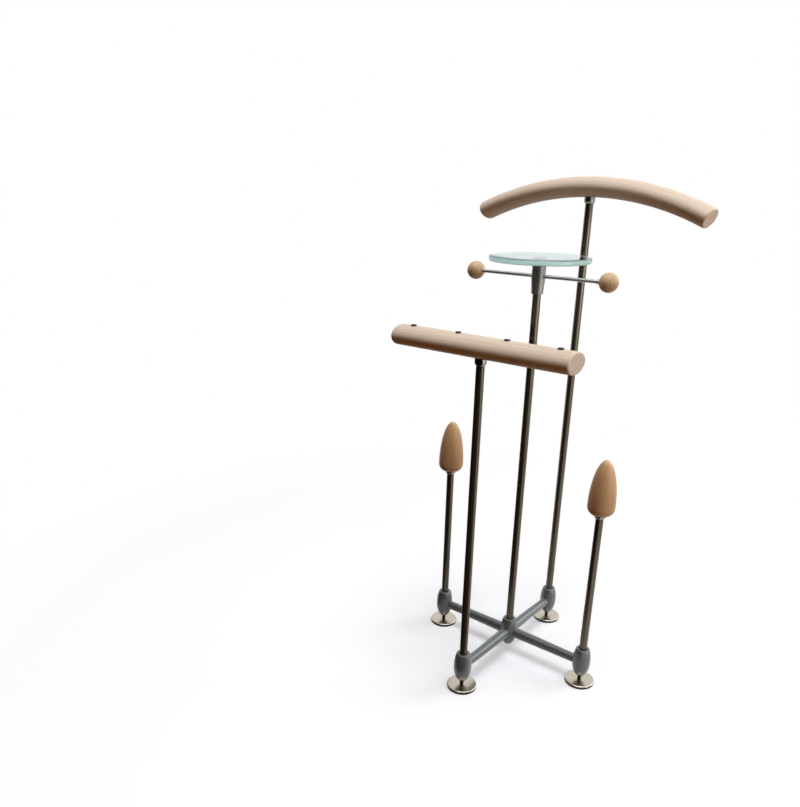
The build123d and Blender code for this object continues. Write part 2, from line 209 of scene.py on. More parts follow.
@dataclass(frozen=True)
class Beech:
    """Steamed beech under a satin lacquer: pale, close-grained, with short dark flecks and soft rings.

    The grain attribute of a piece gives the place in the plank: along the fibres, then across them.
    Real fibres, flecks of about 2 by 0.4 mm and year rings of 2 to 4 mm are too fine to show, and are
    drawn coarser.
    """

    name: str
    pale: str
    deep: str
    fleck: str
    fibre_length_mm: float = 70.0
    fibre_width_mm: float = 2.2
    fleck_length_mm: float = 9.0
    fleck_width_mm: float = 0.9
    fleck_levels: Pair = (0.60, 0.74)
    fleck_share: float = 0.4
    ring_width_mm: float = 5.5
    ring_bend: float = 9.0
    ring_share: float = 0.10
    pith_mm: float = 55.0
    pith_aside: float = 0.3
    wander_mm: float = 60.0
    tone_levels: Pair = (0.28, 0.78)
    roughness: float = 0.55
    gloss_drop: float = 0.06
    gloss_rise: float = 0.08
    relief: Pair = (0.25, 0.12)
    ior: float = 1.5
    specular_level: float = 0.22
    lacquer: float = 0.1
    lacquer_roughness: float = 0.36

    def build(self) -> bpy.types.Material:
        """Lays rings, fibre streaks and flecks on one colour, over a faint raised grain.

        The rings are a sine of the distance from the pith, bent by a slow noise. They shift the tone of
        the fibres between pale and deep, and the flecks darken it.

        Returns:
            The wood.
        """
        material, tree = blank_material(self.name)
        grain = add_node(tree, "ShaderNodeAttribute", attribute_name="grain").outputs["Vector"]
        fibre_mm = (self.fibre_length_mm, self.fibre_width_mm, self.fibre_width_mm)
        fleck_mm = (self.fleck_length_mm, self.fleck_width_mm, self.fleck_width_mm)
        fibre = stretched_noise(tree, grain, fibre_mm, detail=4.0)
        fleck = stretched_noise(tree, grain, fleck_mm, detail=1.0)
        fleck_low, fleck_high = self.fleck_levels
        fleck_share = add_node(
            tree,
            "ShaderNodeMapRange",
            {"Value": fleck, "From Min": fleck_low, "From Max": fleck_high, "To Max": self.fleck_share},
        )
        flatten = {0: grain, 1: (0.0, 1.0, 1.0)}
        cross = add_node(tree, "ShaderNodeVectorMath", flatten, operation="MULTIPLY")
        pith = (0.0, self.pith_mm * MM, self.pith_aside * self.pith_mm * MM)
        from_pith = add_node(
            tree, "ShaderNodeVectorMath", {0: cross.outputs[0], 1: pith}, operation="ADD"
        )
        distance = add_node(tree, "ShaderNodeVectorMath", {0: from_pith.outputs[0]}, operation="LENGTH")
        slow = {"Vector": grain, "Scale": per_metre(self.wander_mm), "Detail": 2.0}
        wander = add_node(tree, "ShaderNodeTexNoise", slow)
        ring_turns = add_node(
            tree,
            "ShaderNodeMath",
            {0: distance.outputs["Value"], 1: 2 * pi * per_metre(self.ring_width_mm)},
            operation="MULTIPLY",
        )
        bend = {0: wander.outputs[0], 1: self.ring_bend, 2: ring_turns.outputs[0]}
        bent = add_node(tree, "ShaderNodeMath", bend, operation="MULTIPLY_ADD")
        ring = add_node(tree, "ShaderNodeMath", {0: bent.outputs[0]}, operation="SINE")
        shift = {0: ring.outputs[0], 1: self.ring_share, 2: fibre}
        tone = add_node(tree, "ShaderNodeMath", shift, operation="MULTIPLY_ADD")
        tone_low, tone_high = self.tone_levels
        tone_share = add_node(
            tree,
            "ShaderNodeMapRange",
            {"Value": tone.outputs[0], "From Min": tone_low, "From Max": tone_high},
        )
        tones = {0: tone_share.outputs[0], 6: linear(self.pale), 7: linear(self.deep)}
        wood = add_node(tree, "ShaderNodeMix", tones, data_type="RGBA")
        marks = {0: fleck_share.outputs[0], 6: wood.outputs[2], 7: linear(self.fleck)}
        flecked = add_node(tree, "ShaderNodeMix", marks, data_type="RGBA")
        lacquer = {
            "IOR": self.ior,
            "Specular IOR Level": self.specular_level,
            "Coat Weight": self.lacquer,
            "Coat Roughness": self.lacquer_roughness,
        }
        gloss = (self.roughness - self.gloss_drop, self.roughness + self.gloss_rise)
        close_patterned(tree, flecked.outputs[2], fibre, gloss, self.relief, lacquer)
        return material


@dataclass(frozen=True)
class CastPaint:
    """Stove enamel on a sand casting: even grey, satin, with the faint peel of sprayed paint."""

    name: str
    colour: str
    shade: str
    peel_mm: float = 2.4
    cloud_mm: float = 45.0
    roughness: float = 0.36
    gloss_spread: float = 0.08
    relief: Pair = (0.2, 0.15)
    ior: float = 1.5
    gloss_coat: float = 0.7
    gloss_coat_roughness: float = 0.3

    def build(self) -> bpy.types.Material:
        """Mixes two close greys in clouds, and lays a fine peel on gloss and height.

        Returns:
            The paint.
        """
        material, tree = blank_material(self.name)
        place = add_node(tree, "ShaderNodeTexCoord").outputs["Object"]
        cloudy = {"Vector": place, "Scale": per_metre(self.cloud_mm), "Detail": 3.0}
        cloud = add_node(tree, "ShaderNodeTexNoise", cloudy)
        pebbly = {"Vector": place, "Scale": per_metre(self.peel_mm), "Detail": 2.0}
        peel = add_node(tree, "ShaderNodeTexNoise", pebbly)
        greys = {0: cloud.outputs[0], 6: linear(self.colour), 7: linear(self.shade)}
        grey = add_node(tree, "ShaderNodeMix", greys, data_type="RGBA")
        coat = {
            "IOR": self.ior,
            "Coat Weight": self.gloss_coat,
            "Coat Roughness": self.gloss_coat_roughness,
        }
        gloss = (self.roughness - self.gloss_spread, self.roughness + self.gloss_spread)
        close_patterned(tree, grey.outputs[2], peel.outputs[0], gloss, self.relief, coat)
        return material


@dataclass(frozen=True)
class PlatedMetal:
    """Plated metal, drawn, turned or polished: a tinted mirror with faint lines left by the tool.

    The lines run along Z on drawn metal. On turned metal they run round the axis, because the turning
    attribute gives the radius, the height and the arc of each point. Real lines are finer than a tenth
    of a millimetre, and are drawn coarser to show. A painted shade, if one is given, darkens what lies
    below a height, standing in for the dark that a low edge mirrors.
    """

    name: str
    bright: str
    dull: str
    roughness: float
    line_width_mm: float
    line_length_mm: float
    tool: ToolLines = ToolLines.DRAWN
    scratch: float = 0.08
    least_roughness: float = 0.03
    metallic: float = 1.0
    relief: float = 0.1
    relief_mm: float = 0.03
    painted_shade: str | None = None
    painted_shade_top_mm: Pair = (0.0, 0.0)

    def build(self) -> bpy.types.Material:
        """Draws the tool's lines in tint, gloss and, faintly, height.

        Returns:
            The metal.
        """
        material, tree = blank_material(self.name)
        if self.tool is ToolLines.TURNED:
            place = add_node(tree, "ShaderNodeAttribute", attribute_name="turning").outputs["Vector"]
        else:
            place = add_node(tree, "ShaderNodeTexCoord").outputs["Object"]
        line_mm = (self.line_width_mm, self.line_width_mm, self.line_length_mm)
        lines = stretched_noise(tree, place, line_mm, detail=3.0)
        tints = {0: lines, 6: linear(self.bright), 7: linear(self.dull)}
        colour = add_node(tree, "ShaderNodeMix", tints, data_type="RGBA").outputs[2]
        # Painted shade: below a height the colour darkens to a given dark, standing in for the dark that
        # a low edge mirrors.
        if self.painted_shade:
            height = add_node(tree, "ShaderNodeSeparateXYZ", {0: place}).outputs[1]
            low, high = self.painted_shade_top_mm
            limits = {"Value": height, "From Min": low * MM, "From Max": high * MM}
            unshaded = add_node(tree, "ShaderNodeMapRange", limits)
            layers = {0: unshaded.outputs[0], 6: linear(self.painted_shade), 7: colour}
            colour = add_node(tree, "ShaderNodeMix", layers, data_type="RGBA").outputs[2]
        smoothest = max(self.roughness - self.scratch, self.least_roughness)
        gloss = (smoothest, self.roughness + self.scratch)
        relief = (self.relief, self.relief_mm)
        close_patterned(tree, colour, lines, gloss, relief, {"Metallic": self.metallic})
        return material


@dataclass(frozen=True)
class FloatGlass:
    """Clear float glass with a finely ground edge: nearly colourless faces, a sea-green edge.

    The turning attribute gives each point's radius, by which the edge is told from the faces.
    """

    name: str
    face: str
    edge: str
    edge_start_mm: float
    edge_full_mm: float
    ior: float = 1.52
    edge_roughness: float = 0.3
    edge_clear: float = 0.75

    def build(self) -> bpy.types.Material:
        """Blends a clear refracting face into an edge that scatters the green of its depth.

        Returns:
            The glass.
        """
        material, tree = blank_material(self.name)
        turning = add_node(tree, "ShaderNodeAttribute", attribute_name="turning").outputs["Vector"]
        radius = add_node(tree, "ShaderNodeSeparateXYZ", {0: turning}).outputs[0]
        start, full = self.edge_start_mm * MM, self.edge_full_mm * MM
        limits = {"Value": radius, "From Min": start, "From Max": full}
        share = add_node(tree, "ShaderNodeMapRange", limits)
        rough = add_node(tree, "ShaderNodeMapRange", limits | {"To Max": self.edge_roughness})
        clear = add_node(
            tree, "ShaderNodeMapRange", limits | {"To Min": 1.0, "To Max": self.edge_clear}
        )
        tints = {0: share.outputs[0], 6: linear(self.face), 7: linear(self.edge)}
        tint = add_node(tree, "ShaderNodeMix", tints, data_type="RGBA")
        shader = add_node(
            tree,
            "ShaderNodeBsdfPrincipled",
            {
                "Base Color": tint.outputs[2],
                "Roughness": rough.outputs[0],
                "IOR": self.ior,
                "Transmission Weight": clear.outputs[0],
            },
        )
        close_material(tree, shader.outputs[0])
        return material


@dataclass(frozen=True)
class MouldedPolymer:
    """Moulded rubber or plastic: one colour with a fine grain from the mould, drawn coarser to show."""

    name: str
    colour: str
    bloom: str
    roughness: float
    grain_mm: float = 0.8
    gloss_spread: float = 0.06
    relief: Pair = (0.15, 0.05)

    def build(self) -> bpy.types.Material:
        """Lays a slight bloom on the colour and a fine grain on gloss and height.

        Returns:
            The polymer.
        """
        material, tree = blank_material(self.name)
        place = add_node(tree, "ShaderNodeTexCoord").outputs["Object"]
        fine = {"Vector": place, "Scale": per_metre(self.grain_mm), "Detail": 3.0}
        grain = add_node(tree, "ShaderNodeTexNoise", fine)
        tints = {0: grain.outputs[0], 6: linear(self.colour), 7: linear(self.bloom)}
        tint = add_node(tree, "ShaderNodeMix", tints, data_type="RGBA")
        gloss = (self.roughness - self.gloss_spread, self.roughness + self.gloss_spread)
        close_patterned(tree, tint.outputs[2], grain.outputs[0], gloss, self.relief)
        return material


# A finish for each material slot of the record, and three for pieces unlike the rest of their slot.
FINISHES = {
    # Pale and even, with a sheen too soft to mirror anything.
    "beech": Beech("satin_beech", "#ecdcc8", "#dec8ac", "#c7a782"),
    # The turned balls show more end grain, which takes the lacquer darker.
    "ball_beech": Beech("turned_beech_ball", "#e9cda5", "#d7b284", "#b4895a", roughness=0.5),
    # Oil deepens the wood to honey and gives it a soft highlight.
    "oiled_beech": Beech("oiled_beech", "#e2ba8a", "#d1a673", "#ad8153", roughness=0.46, lacquer=0.35),
    # Mid grey that turns pale where it faces the light.
    "grey_paint": CastPaint("grey_stove_enamel", "#6a7374", "#606869"),
    # Dark plating on drawn tube: nearly black on one side, where it mirrors the black card's painted
    # reflection, and a brown-grey glint on the other.
    "dark_nickel": PlatedMetal(
        "black_nickel_tube", "#69614f", "#565040", 0.26, 0.7, 90.0, scratch=0.05, metallic=0.6
    ),
    # Ferrules and collars: bright bands beside dark ones, which mirror the black card's painted
    # reflection.
    "polished_chrome": PlatedMetal(
        "polished_chrome", "#989590", "#88847e", 0.22, 0.6, 30.0, scratch=0.05
    ),
    # The hub is brushed, so it shows one soft grey.
    "brushed_hub": PlatedMetal("brushed_chrome", "#8c8a86", "#7f7c77", 0.42, 0.6, 30.0, scratch=0.04),
    # The tie bar and its collars are the brightest metal of the stand.
    "bright_bar": PlatedMetal("bright_drawn_bar", "#c6c6c5", "#b6b5b3", 0.38, 0.6, 30.0, scratch=0.04),
    # Spun discs: warm and satin; below the rolled edge a painted shade darkens the side, standing in for
    # the dark that it mirrors.
    "satin_nickel": PlatedMetal(
        "satin_nickel",
        "#d0c6b7",
        "#cdc3b3",
        0.25,
        1.2,
        60.0,
        tool=ToolLines.TURNED,
        scratch=0.015,
        relief=0.02,
        # Painted shade on the lower side of the disc's edge.
        painted_shade="#3a322a",
        painted_shade_top_mm=(5.2, 6.0),
    ),
    # Chemically blackened, so the thread reads as a dark line.
    "stem_steel": PlatedMetal("blackened_thread", "#4a4136", "#393128", 0.35, 0.5, 10.0),
    # Screws, plugs and studs: cool and light, with a dull shine.
    "plated_steel": PlatedMetal("zinc_plated_steel", "#b9bbbd", "#a1a3a5", 0.3, 0.5, 10.0),
    # Bushes and inserts: yellow, fresh from the lathe.
    "turned_brass": PlatedMetal("turned_brass", "#d0ab62", "#b48f4c", 0.25, 0.4, 10.0),
    # The iron in float glass shows as green where the edge lets the eye look along the plate.
    "dish_glass": FloatGlass("green_edged_float_glass", "#eef7f6", "#d0f3ee", 90.8, 92.2),
    # Smooth black rubber with a small highlight.
    "button_rubber": MouldedPolymer("black_button_rubber", "#121212", "#1d1d1d", 0.32),
    # Matt black rubber, a little dusty.
    "foot_rubber": MouldedPolymer("foot_rubber", "#1c1a18", "#282522", 0.7),
    # Nearly the grey of what lies under it.
    "clear_pad": MouldedPolymer("clear_vinyl", "#d9dcdc", "#cfd3d3", 0.4),
    # Undyed plastic: ivory, slightly waxy.
    "bearing_plastic": MouldedPolymer("natural_acetal", "#e4dfd1", "#d8d3c4", 0.45),
}
OWN_FINISHES = {"dish_hub": "brushed_hub", "tie_bar": "bright_bar", "tie_ball_collars": "bright_bar"}


def add_object(name: str, data: bpy.types.ID) -> bpy.types.Object:
    """Puts new data into the scene as an object at the origin.

    Args:
        name: the object's name.
        data: its mesh, lamp or camera.

    Returns:
        The object.
    """
    thing = bpy.data.objects.new(name, data)
    bpy.context.scene.collection.objects.link(thing)
    return thing


def make_piece(name: str, rings: np.ndarray, attribute: str, values: np.ndarray) -> bpy.types.Object:
    """Skins a stack of rings into one closed piece.

    Neighbouring rings are joined by quads, and the first and last ring are closed by fans to their
    mean point. Rings run round the axis by the right-hand rule, so that faces point outwards.

    Args:
        name: the piece's name.
        rings: points, by ring, by step round it, by coordinate.
        attribute: the name of the attribute that the finish reads.
        values: that attribute's vectors, in the shape of rings.

    Returns:
        The new object, at the origin.
    """
    rows, columns = rings.shape[:2]
    ends = np.stack([rings[0].mean(0), rings[-1].mean(0)])
    end_values = np.stack([values[0].mean(0), values[-1].mean(0)])
    points = np.concatenate([rings.reshape(-1, 3), ends])
    steps = np.arange(columns)
    after = np.roll(steps, -1)
    start = (np.arange(rows - 1) * columns)[:, None]
    above = start + columns
    quads = np.stack([start + steps, start + after, above + after, above + steps], -1)
    top = (rows - 1) * columns
    first_fan = np.stack([np.full(columns, rows * columns), after, steps], -1)
    last_fan = np.stack([np.full(columns, rows * columns + 1), top + steps, top + after], -1)
    faces = quads.reshape(-1, 4).tolist() + first_fan.tolist() + last_fan.tolist()
    mesh = bpy.data.meshes.new(name)
    mesh.from_pydata(points.tolist(), [], faces)
    mesh.shade_smooth()
    mesh.set_sharp_from_angle(angle=SHARP_ANGLE)
    layer = mesh.attributes.new(attribute, "FLOAT_VECTOR", "POINT")
    layer.data.foreach_set("vector", np.concatenate([values.reshape(-1, 3), end_values]).ravel())
    return add_object(name, mesh)


def quarter_round(centre: Pair, radius: float, start: float, end: float) -> np.ndarray:
    """Returns points on an arc: centre + radius (cos a, sin a), with a from start to end in degrees."""
    angles = np.radians(np.linspace(start, end, ARC_STEPS + 1))
    return np.stack([centre[0] + radius * np.cos(angles), centre[1] + radius * np.sin(angles)], -1)


def rounded_rim(radius: float, levels: Pair, edges: Pair) -> np.ndarray:
    """Draws the rim of a disc: a quarter round under and over a straight wall.

    Args:
        radius: the disc's radius.
        levels: its bottom and its top.
        edges: the radius of the lower round and of the upper one.

    Returns:
        Radius and height of the rim's points, from the bottom up.
    """
    (bottom, top), (lower, upper) = levels, edges
    under = quarter_round((radius - lower, bottom + lower), lower, -90, 0)
    over = quarter_round((radius - upper, top - upper), upper, 0, 90)
    return np.concatenate([under, over])


def turned_rings(profile: np.ndarray, site: Pair, columns: int) -> np.ndarray:
    """Carries a profile round an upright axis.

    A profile point (r, z) at the turn v lies at site + (r cos v, r sin v, z).

    Args:
        profile: radius and height of each ring, from the bottom up.
        site: where the axis stands.
        columns: steps in a turn.

    Returns:
        The rings' points.
    """
    turn = np.linspace(0, 2 * pi, columns, endpoint=False)
    radius, height = profile[:, :1], profile[:, 1:]
    x = site[0] + radius * np.cos(turn)
    y = site[1] + radius * np.sin(turn)
    return np.stack([x, y, np.broadcast_to(height, x.shape)], -1)


def turned_piece(name: str, profile: np.ndarray, site: Pair, columns: int) -> bpy.types.Object:
    """Turns a profile into a closed piece whose finish can read where on it a point lies.

    The turning attribute holds a point's radius r, its height, and its arc r |v - pi| at the turn v.

    Args:
        name: the piece's name.
        profile: radius and height of each ring, from the bottom up.
        site: where the axis stands.
        columns: steps in a turn.

    Returns:
        The new object, at the origin.
    """
    turn = np.linspace(0, 2 * pi, columns, endpoint=False)
    radius, height = profile[:, :1], profile[:, 1:]
    values = np.stack(np.broadcast_arrays(radius, height, radius * np.abs(turn - pi)), -1)
    return make_piece(name, turned_rings(profile, site, columns), "turning", values)


def plan_middle(node: str) -> Pair:
    """Returns the middle of a node's box, seen from above."""
    low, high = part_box(node)
    return (low.x + high.x) / 2, (low.y + high.y) / 2


def dress(piece: bpy.types.Object, finishes: Finishes, slot: str, finish: str | None = None) -> None:
    """Gives a new piece its finish, by default the slot's own."""
    piece.data.materials.append(finishes[finish or slot])


def seat(piece: bpy.types.Object, body: str, *nodes: str) -> None:
    """Lets a piece ride on a body in place of nodes of the frame, and reports it.

    Args:
        piece: the new piece.
        body: the name of the body that carries it.
        nodes: the nodes that it stands for.
    """
    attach(piece, body)
    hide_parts(*nodes)
    LOG.info("%s: %d faces, rides on %s", piece.name, len(piece.data.polygons), body)


@dataclass
class WoodenBar:
    """A wooden bar of oval section with flat-cut ends and eased edges, straight or bent to an arc."""

    name: str
    node: str
    body: Body
    length: float
    width: float
    depth: float
    height: float
    bend_radius: float | None
    plank: Point
    edge_radius: float = 3.0 * MM
    columns: int = 96
    stations: int = 90
    end_rings: int = 8
    end_share: float = 0.08

    def profile(self) -> np.ndarray:
        """Lists the bar's rings from end to end.

        A flat end grows from a small share of the inset oval to all of it. The edge is eased by a
        quarter round: at the turn t it lies e (1 - cos t) behind the end and e (1 - sin t) inside
        the oval. The bar runs from there to the other end, which mirrors the first.

        Returns:
            The place along the bar, the inset from the oval and the share of it for each ring.
        """
        half, edge = self.length / 2, self.edge_radius
        share = np.linspace(self.end_share, 1.0, self.end_rings, endpoint=False)
        flat = np.stack([np.full(self.end_rings, -half), np.full(self.end_rings, edge), share], -1)
        turn = np.linspace(0, pi / 2, ARC_STEPS + 1)
        back, inset = edge * (1 - np.cos(turn)), edge * (1 - np.sin(turn))
        eased = np.stack([back - half, inset, np.ones(len(turn))], -1)
        middle = np.linspace(edge - half, half - edge, self.stations)[1:-1]
        shaft = np.stack([middle, np.zeros(len(middle)), np.ones(len(middle))], -1)
        start = np.concatenate([flat, eased])
        finish = start[::-1] * (-1, 1, 1)
        return np.concatenate([start, shaft, finish])

    def build(self) -> bpy.types.Object:
        """Carries the oval along the bar's axis.

        At s along the axis and the turn v, the point is C(s) + a cos v N(s) - b sin v Y, with a and b
        the half depth and half width of the ring. C is a straight line along X, or an arc under whose
        top the bar hangs, and N is the normal of C in its plane.

        Returns:
            The bar, with its grain along s.
        """
        along, inset, share = np.split(self.profile(), 3, axis=1)
        turn = np.linspace(0, 2 * pi, self.columns, endpoint=False)
        out = share * (self.depth / 2 - inset) * np.cos(turn)
        side = -share * (self.width / 2 - inset) * np.sin(turn)
        middle_y = plan_middle(self.node)[1]
        if self.bend_radius is None:
            x = along + np.zeros_like(out)
            z = self.height + out
        else:
            angle = along / self.bend_radius
            x = (self.bend_radius + out) * np.sin(angle)
            z = self.height - self.bend_radius + (self.bend_radius + out) * np.cos(angle)
        rings = np.stack([x, middle_y + side, z], -1)
        grain = np.stack([along + np.zeros_like(out), out, side], -1) + self.plank
        return make_piece(self.name, rings, "grain", grain)

    def add(self, finishes: Finishes) -> None:
        """Builds the bar, dresses it and seats it on its body.

        Args:
            finishes: the materials by name.
        """
        bar = self.build()
        dress(bar, finishes, "beech")
        seat(bar, self.body.value, self.node)


@dataclass
class GripButtons:
    """Black buttons along the top of the trouser bar: a short drum with a rounded crown."""

    count: int = 4
    seat_depth: float = 1.2 * MM
    rise: float = 3.0 * MM
    diameter: float = 11 * MM
    crown_radius: float = 1.2 * MM
    crown_rise: float = 0.5 * MM
    crown_share: float = 0.05
    floor_share: float = 0.3
    columns: int = 48

    def add(self, finishes: Finishes) -> None:
        """Turns a button for each place along the node, and seats them all in its stead.

        The profile runs up the drum, round the crown's edge and over a shallow dome, which lies
        c (1 - s^2) above that edge at the share s of its radius.

        Args:
            finishes: the materials by name.
        """
        low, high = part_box("trouser_grip_buttons")
        radius, edge, shoulder = self.diameter / 2, self.crown_radius, high.z - self.crown_rise
        floor = high.z - self.rise - self.seat_depth
        drum = [[self.floor_share * radius, floor], [radius, floor], [radius, shoulder - edge]]
        rim = quarter_round((radius - edge, shoulder - edge), edge, 0, 90)
        share = np.linspace(1, self.crown_share, ARC_STEPS)[1:]
        dome = np.stack([(radius - edge) * share, shoulder + self.crown_rise * (1 - share**2)], -1)
        profile = np.concatenate([drum, rim[1:], dome])
        places = np.linspace(low.x + radius, high.x - radius, self.count)
        for number, x in enumerate(places, start=1):
            site = (x, (low.y + high.y) / 2)
            button = turned_piece(f"grip_button_{number}", profile, site, self.columns)
            dress(button, finishes, "button_rubber")
            seat(button, Body.TROUSER_BAR.value, "trouser_grip_buttons")


@dataclass
class TieBall:
    """A drilled beech ball on the end of the tie bar, with a seat for its collar on the inner side."""

    side: Side
    node: str
    seat_diameter: float = 9.6 * MM
    seat_depth: float = 1.5 * MM
    floor_share: float = 0.2
    plank_offset: float = 0.31
    columns: int = 72
    rows: int = 48

    def build(self) -> bpy.types.Object:
        """Turns a ball about X, with upright grain.

        From its outer pole to the rim of the seat, the girth is R sin t at R cos t from the middle.

        Returns:
            The ball.
        """
        low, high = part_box(self.node)
        radius = (high.z - low.z) / 2
        height = (high.z + low.z) / 2
        middle = high.x - radius if self.side is Side.RIGHT else low.x + radius
        seat_radius, floor = self.seat_diameter / 2, radius - self.seat_depth
        t = np.linspace(POLE_GAP, pi - asin(seat_radius / radius), self.rows)
        reach = np.concatenate([radius * np.cos(t), [-floor, -floor]])[:, None]
        floor_girth = self.floor_share * seat_radius
        girth = np.concatenate([radius * np.sin(t), [seat_radius, floor_girth]])[:, None]
        turn = np.linspace(0, 2 * pi, self.columns, endpoint=False)
        across, up = girth * np.cos(turn), -girth * np.sin(turn)
        x = self.side.value * (reach + np.zeros_like(across))
        rings = np.stack([middle + x, self.side.value * across, height + up], -1)
        grain = np.stack([up, across, x], -1) + (self.plank_offset * self.side.value, 0.0, 0.0)
        return make_piece(f"turned_{self.node}", rings, "grain", grain)

    def add(self, finishes: Finishes) -> None:
        """Builds the ball, dresses it and seats it with the dish.

        Args:
            finishes: the materials by name.
        """
        ball = self.build()
        dress(ball, finishes, "beech", "ball_beech")
        seat(ball, Body.DISH.value, self.node)


@dataclass
class ShoeForm:
    """A turned wooden form that a shoe slips over: a round heel, and one curve from flank to nose."""

    node: str
    heel_radius: float = 18 * MM
    hole_radius: float = 6 * MM
    plank_across: Pair = (0.013, 0.021)
    columns: int = 96
    flank_steps: int = 60

    def profile(self) -> np.ndarray:
        """Draws the form's half outline.

        The heel is a quarter round. Flank and nose are a quarter of an ellipse: at the angle a the
        radius is R cos a, at h sin a above the heel, with h the rise from the heel to the tip.

        Returns:
            Radius and height of the rings, from the flat base to the tip.
        """
        low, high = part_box(self.node)
        radius, heel = (high.x - low.x) / 2, self.heel_radius
        heel_top = low.z + heel
        flat = np.array([[self.hole_radius, low.z], [radius - heel, low.z]])
        heel_arc = quarter_round((radius - heel, heel_top), heel, -90, 0)
        angle = np.linspace(0, pi / 2 - POLE_GAP, self.flank_steps)[1:, None]
        rise = heel_top + (high.z - heel_top) * np.sin(angle)
        flank = np.concatenate([radius * np.cos(angle), rise], -1)
        return np.concatenate([flat, heel_arc[1:], flank])

    def add(self, finishes: Finishes) -> None:
        """Turns the form about its rod's axis, with upright grain, and seats it on the stand.

        Args:
            finishes: the materials by name.
        """
        site = plan_middle(self.node)
        rings = turned_rings(self.profile(), site, self.columns)
        grain = (rings - (*site, 0.0))[..., [2, 0, 1]] + (site[0], *self.plank_across)
        form = make_piece(f"turned_{self.node}", rings, "grain", grain)
        dress(form, finishes, "oiled_beech")
        seat(form, Body.STAND.value, self.node)


@dataclass
class GlassDish:
    """The round glass plate with its ground, rounded edge, which lies on its pad over a film of air."""

    axis: Pair = (0.0, 0.0)
    edge_radius: float = 3.5 * MM
    air_film: float = 0.05 * MM
    centre_share: float = 0.1
    columns: int = 128
    face_rings: int = 6

    def add(self, finishes: Finishes) -> None:
        """Turns the plate: flat faces, a quarter round under and over a straight edge.

        Args:
            finishes: the materials by name.
        """
        low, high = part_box("glass_dish")
        radius, edge = (high.x - low.x) / 2, self.edge_radius
        bottom = low.z + self.air_film
        face = np.linspace(self.centre_share * radius, radius - edge, self.face_rings, endpoint=False)
        under = np.stack([face, np.full(len(face), bottom)], -1)
        over = np.stack([face[::-1], np.full(len(face), high.z)], -1)
        profile = np.concatenate([under, rounded_rim(radius, (bottom, high.z), (edge, edge)), over])
        plate = turned_piece("glass_plate", profile, self.axis, self.columns)
        dress(plate, finishes, "dish_glass")
        seat(plate, Body.DISH.value, "glass_dish")


@dataclass
class LevellingFoot:
    """A levelling foot: a threaded stem, a spun metal disc with a rolled edge, a rubber pad."""

    name: str
    thread_pitch: float = 1.25 * MM
    thread_depth: float = 0.65 * MM
    disc_edge_radius: float = 2.0 * MM
    disc_lower_radius: float = 0.4 * MM
    stem_hole: float = 4.05 * MM
    stem_hole_depth: float = 3.05 * MM
    pad_edge_radius: float = 0.5 * MM
    centre_share: float = 0.1
    socket_share: float = 0.3
    columns: int = 96
    stem_columns: int = 40
    rows_per_turn: int = 10
    face_rings: int = 8

    def site(self) -> Pair:
        """Returns where the foot stands."""
        return plan_middle(f"{self.name}_foot_pad")

    def add_stem(self, finishes: Finishes) -> None:
        """Cuts the thread: r(z, v) = crest - depth |2 frac(z / pitch - v / 2 pi) - 1| on the stem.

        Args:
            finishes: the materials by name.
        """
        node = f"{self.name}_foot_stem"
        low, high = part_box(node)
        crest = (high.x - low.x) / 2
        rows = int((high.z - low.z) / self.thread_pitch * self.rows_per_turn)
        height = np.linspace(low.z, high.z, rows)[:, None]
        turn = np.linspace(0, 2 * pi, self.stem_columns, endpoint=False)
        phase = np.mod(height / self.thread_pitch - turn / (2 * pi), 1.0)
        radius = crest - self.thread_depth * np.abs(2 * phase - 1)
        x, y = self.site()
        across, deep = x + radius * np.cos(turn), y + radius * np.sin(turn)
        rings = np.stack([across, deep, height + np.zeros_like(radius)], -1)
        stem = make_piece(f"threaded_{node}", rings, "turning", rings)
        dress(stem, finishes, "stem_steel")
        seat(stem, node, node)

    def add_disc(self, finishes: Finishes) -> None:
        """Turns the disc: flat under, a small lower edge, a rolled upper edge, a socket for the stem.

        Args:
            finishes: the materials by name.
        """
        node = f"{self.name}_foot_disc"
        low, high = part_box(node)
        radius = (high.x - low.x) / 2
        under = [[self.centre_share * radius, low.z]]
        rim = rounded_rim(radius, (low.z, high.z), (self.disc_lower_radius, self.disc_edge_radius))
        face = np.linspace(radius - self.disc_edge_radius, self.stem_hole, self.face_rings)[1:]
        top = np.stack([face, np.full(len(face), high.z)], -1)
        floor = high.z - self.stem_hole_depth
        socket = [[self.stem_hole, floor], [self.socket_share * self.stem_hole, floor]]
        profile = np.concatenate([under, rim, top, socket])
        disc = turned_piece(f"spun_{node}", profile, self.site(), self.columns)
        dress(disc, finishes, "satin_nickel")
        seat(disc, node, node)

    def add_pad(self, finishes: Finishes) -> None:
        """Turns the pad: a thin disc with both edges rounded.

        Args:
            finishes: the materials by name.
        """
        node = f"{self.name}_foot_pad"
        low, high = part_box(node)
        radius, edge = (high.x - low.x) / 2, self.pad_edge_radius
        rim = rounded_rim(radius, (low.z, high.z), (edge, edge))
        centre = self.centre_share * radius
        profile = np.concatenate([[[centre, low.z]], rim, [[centre, high.z]]])
        pad = turned_piece(f"moulded_{node}", profile, self.site(), self.columns)
        dress(pad, finishes, "foot_rubber")
        seat(pad, f"{self.name}_foot_disc", node)

    def add(self, finishes: Finishes) -> None:
        """Builds the three pieces of the foot.

        Args:
            finishes: the materials by name.
        """
        self.add_stem(finishes)
        self.add_disc(finishes)
        self.add_pad(finishes)


@dataclass
class CarriedNodes:
    """The pieces whose shape comes straight from the frame."""

    def add(self, finishes: Finishes) -> None:
        """Puts its slot's finish on each node, and a finish of their own on the dish's metal.

        Args:
            finishes: the materials by name.
        """
        for subpart in frame["record"]["subparts"]:
            name = subpart["node"]
            for slot in frame["nodes"][name].material_slots:
                slot.material = finishes[OWN_FINISHES.get(name, subpart["material_slot"])]
        LOG.info("finishes set on %d carried nodes", len(frame["nodes"]))


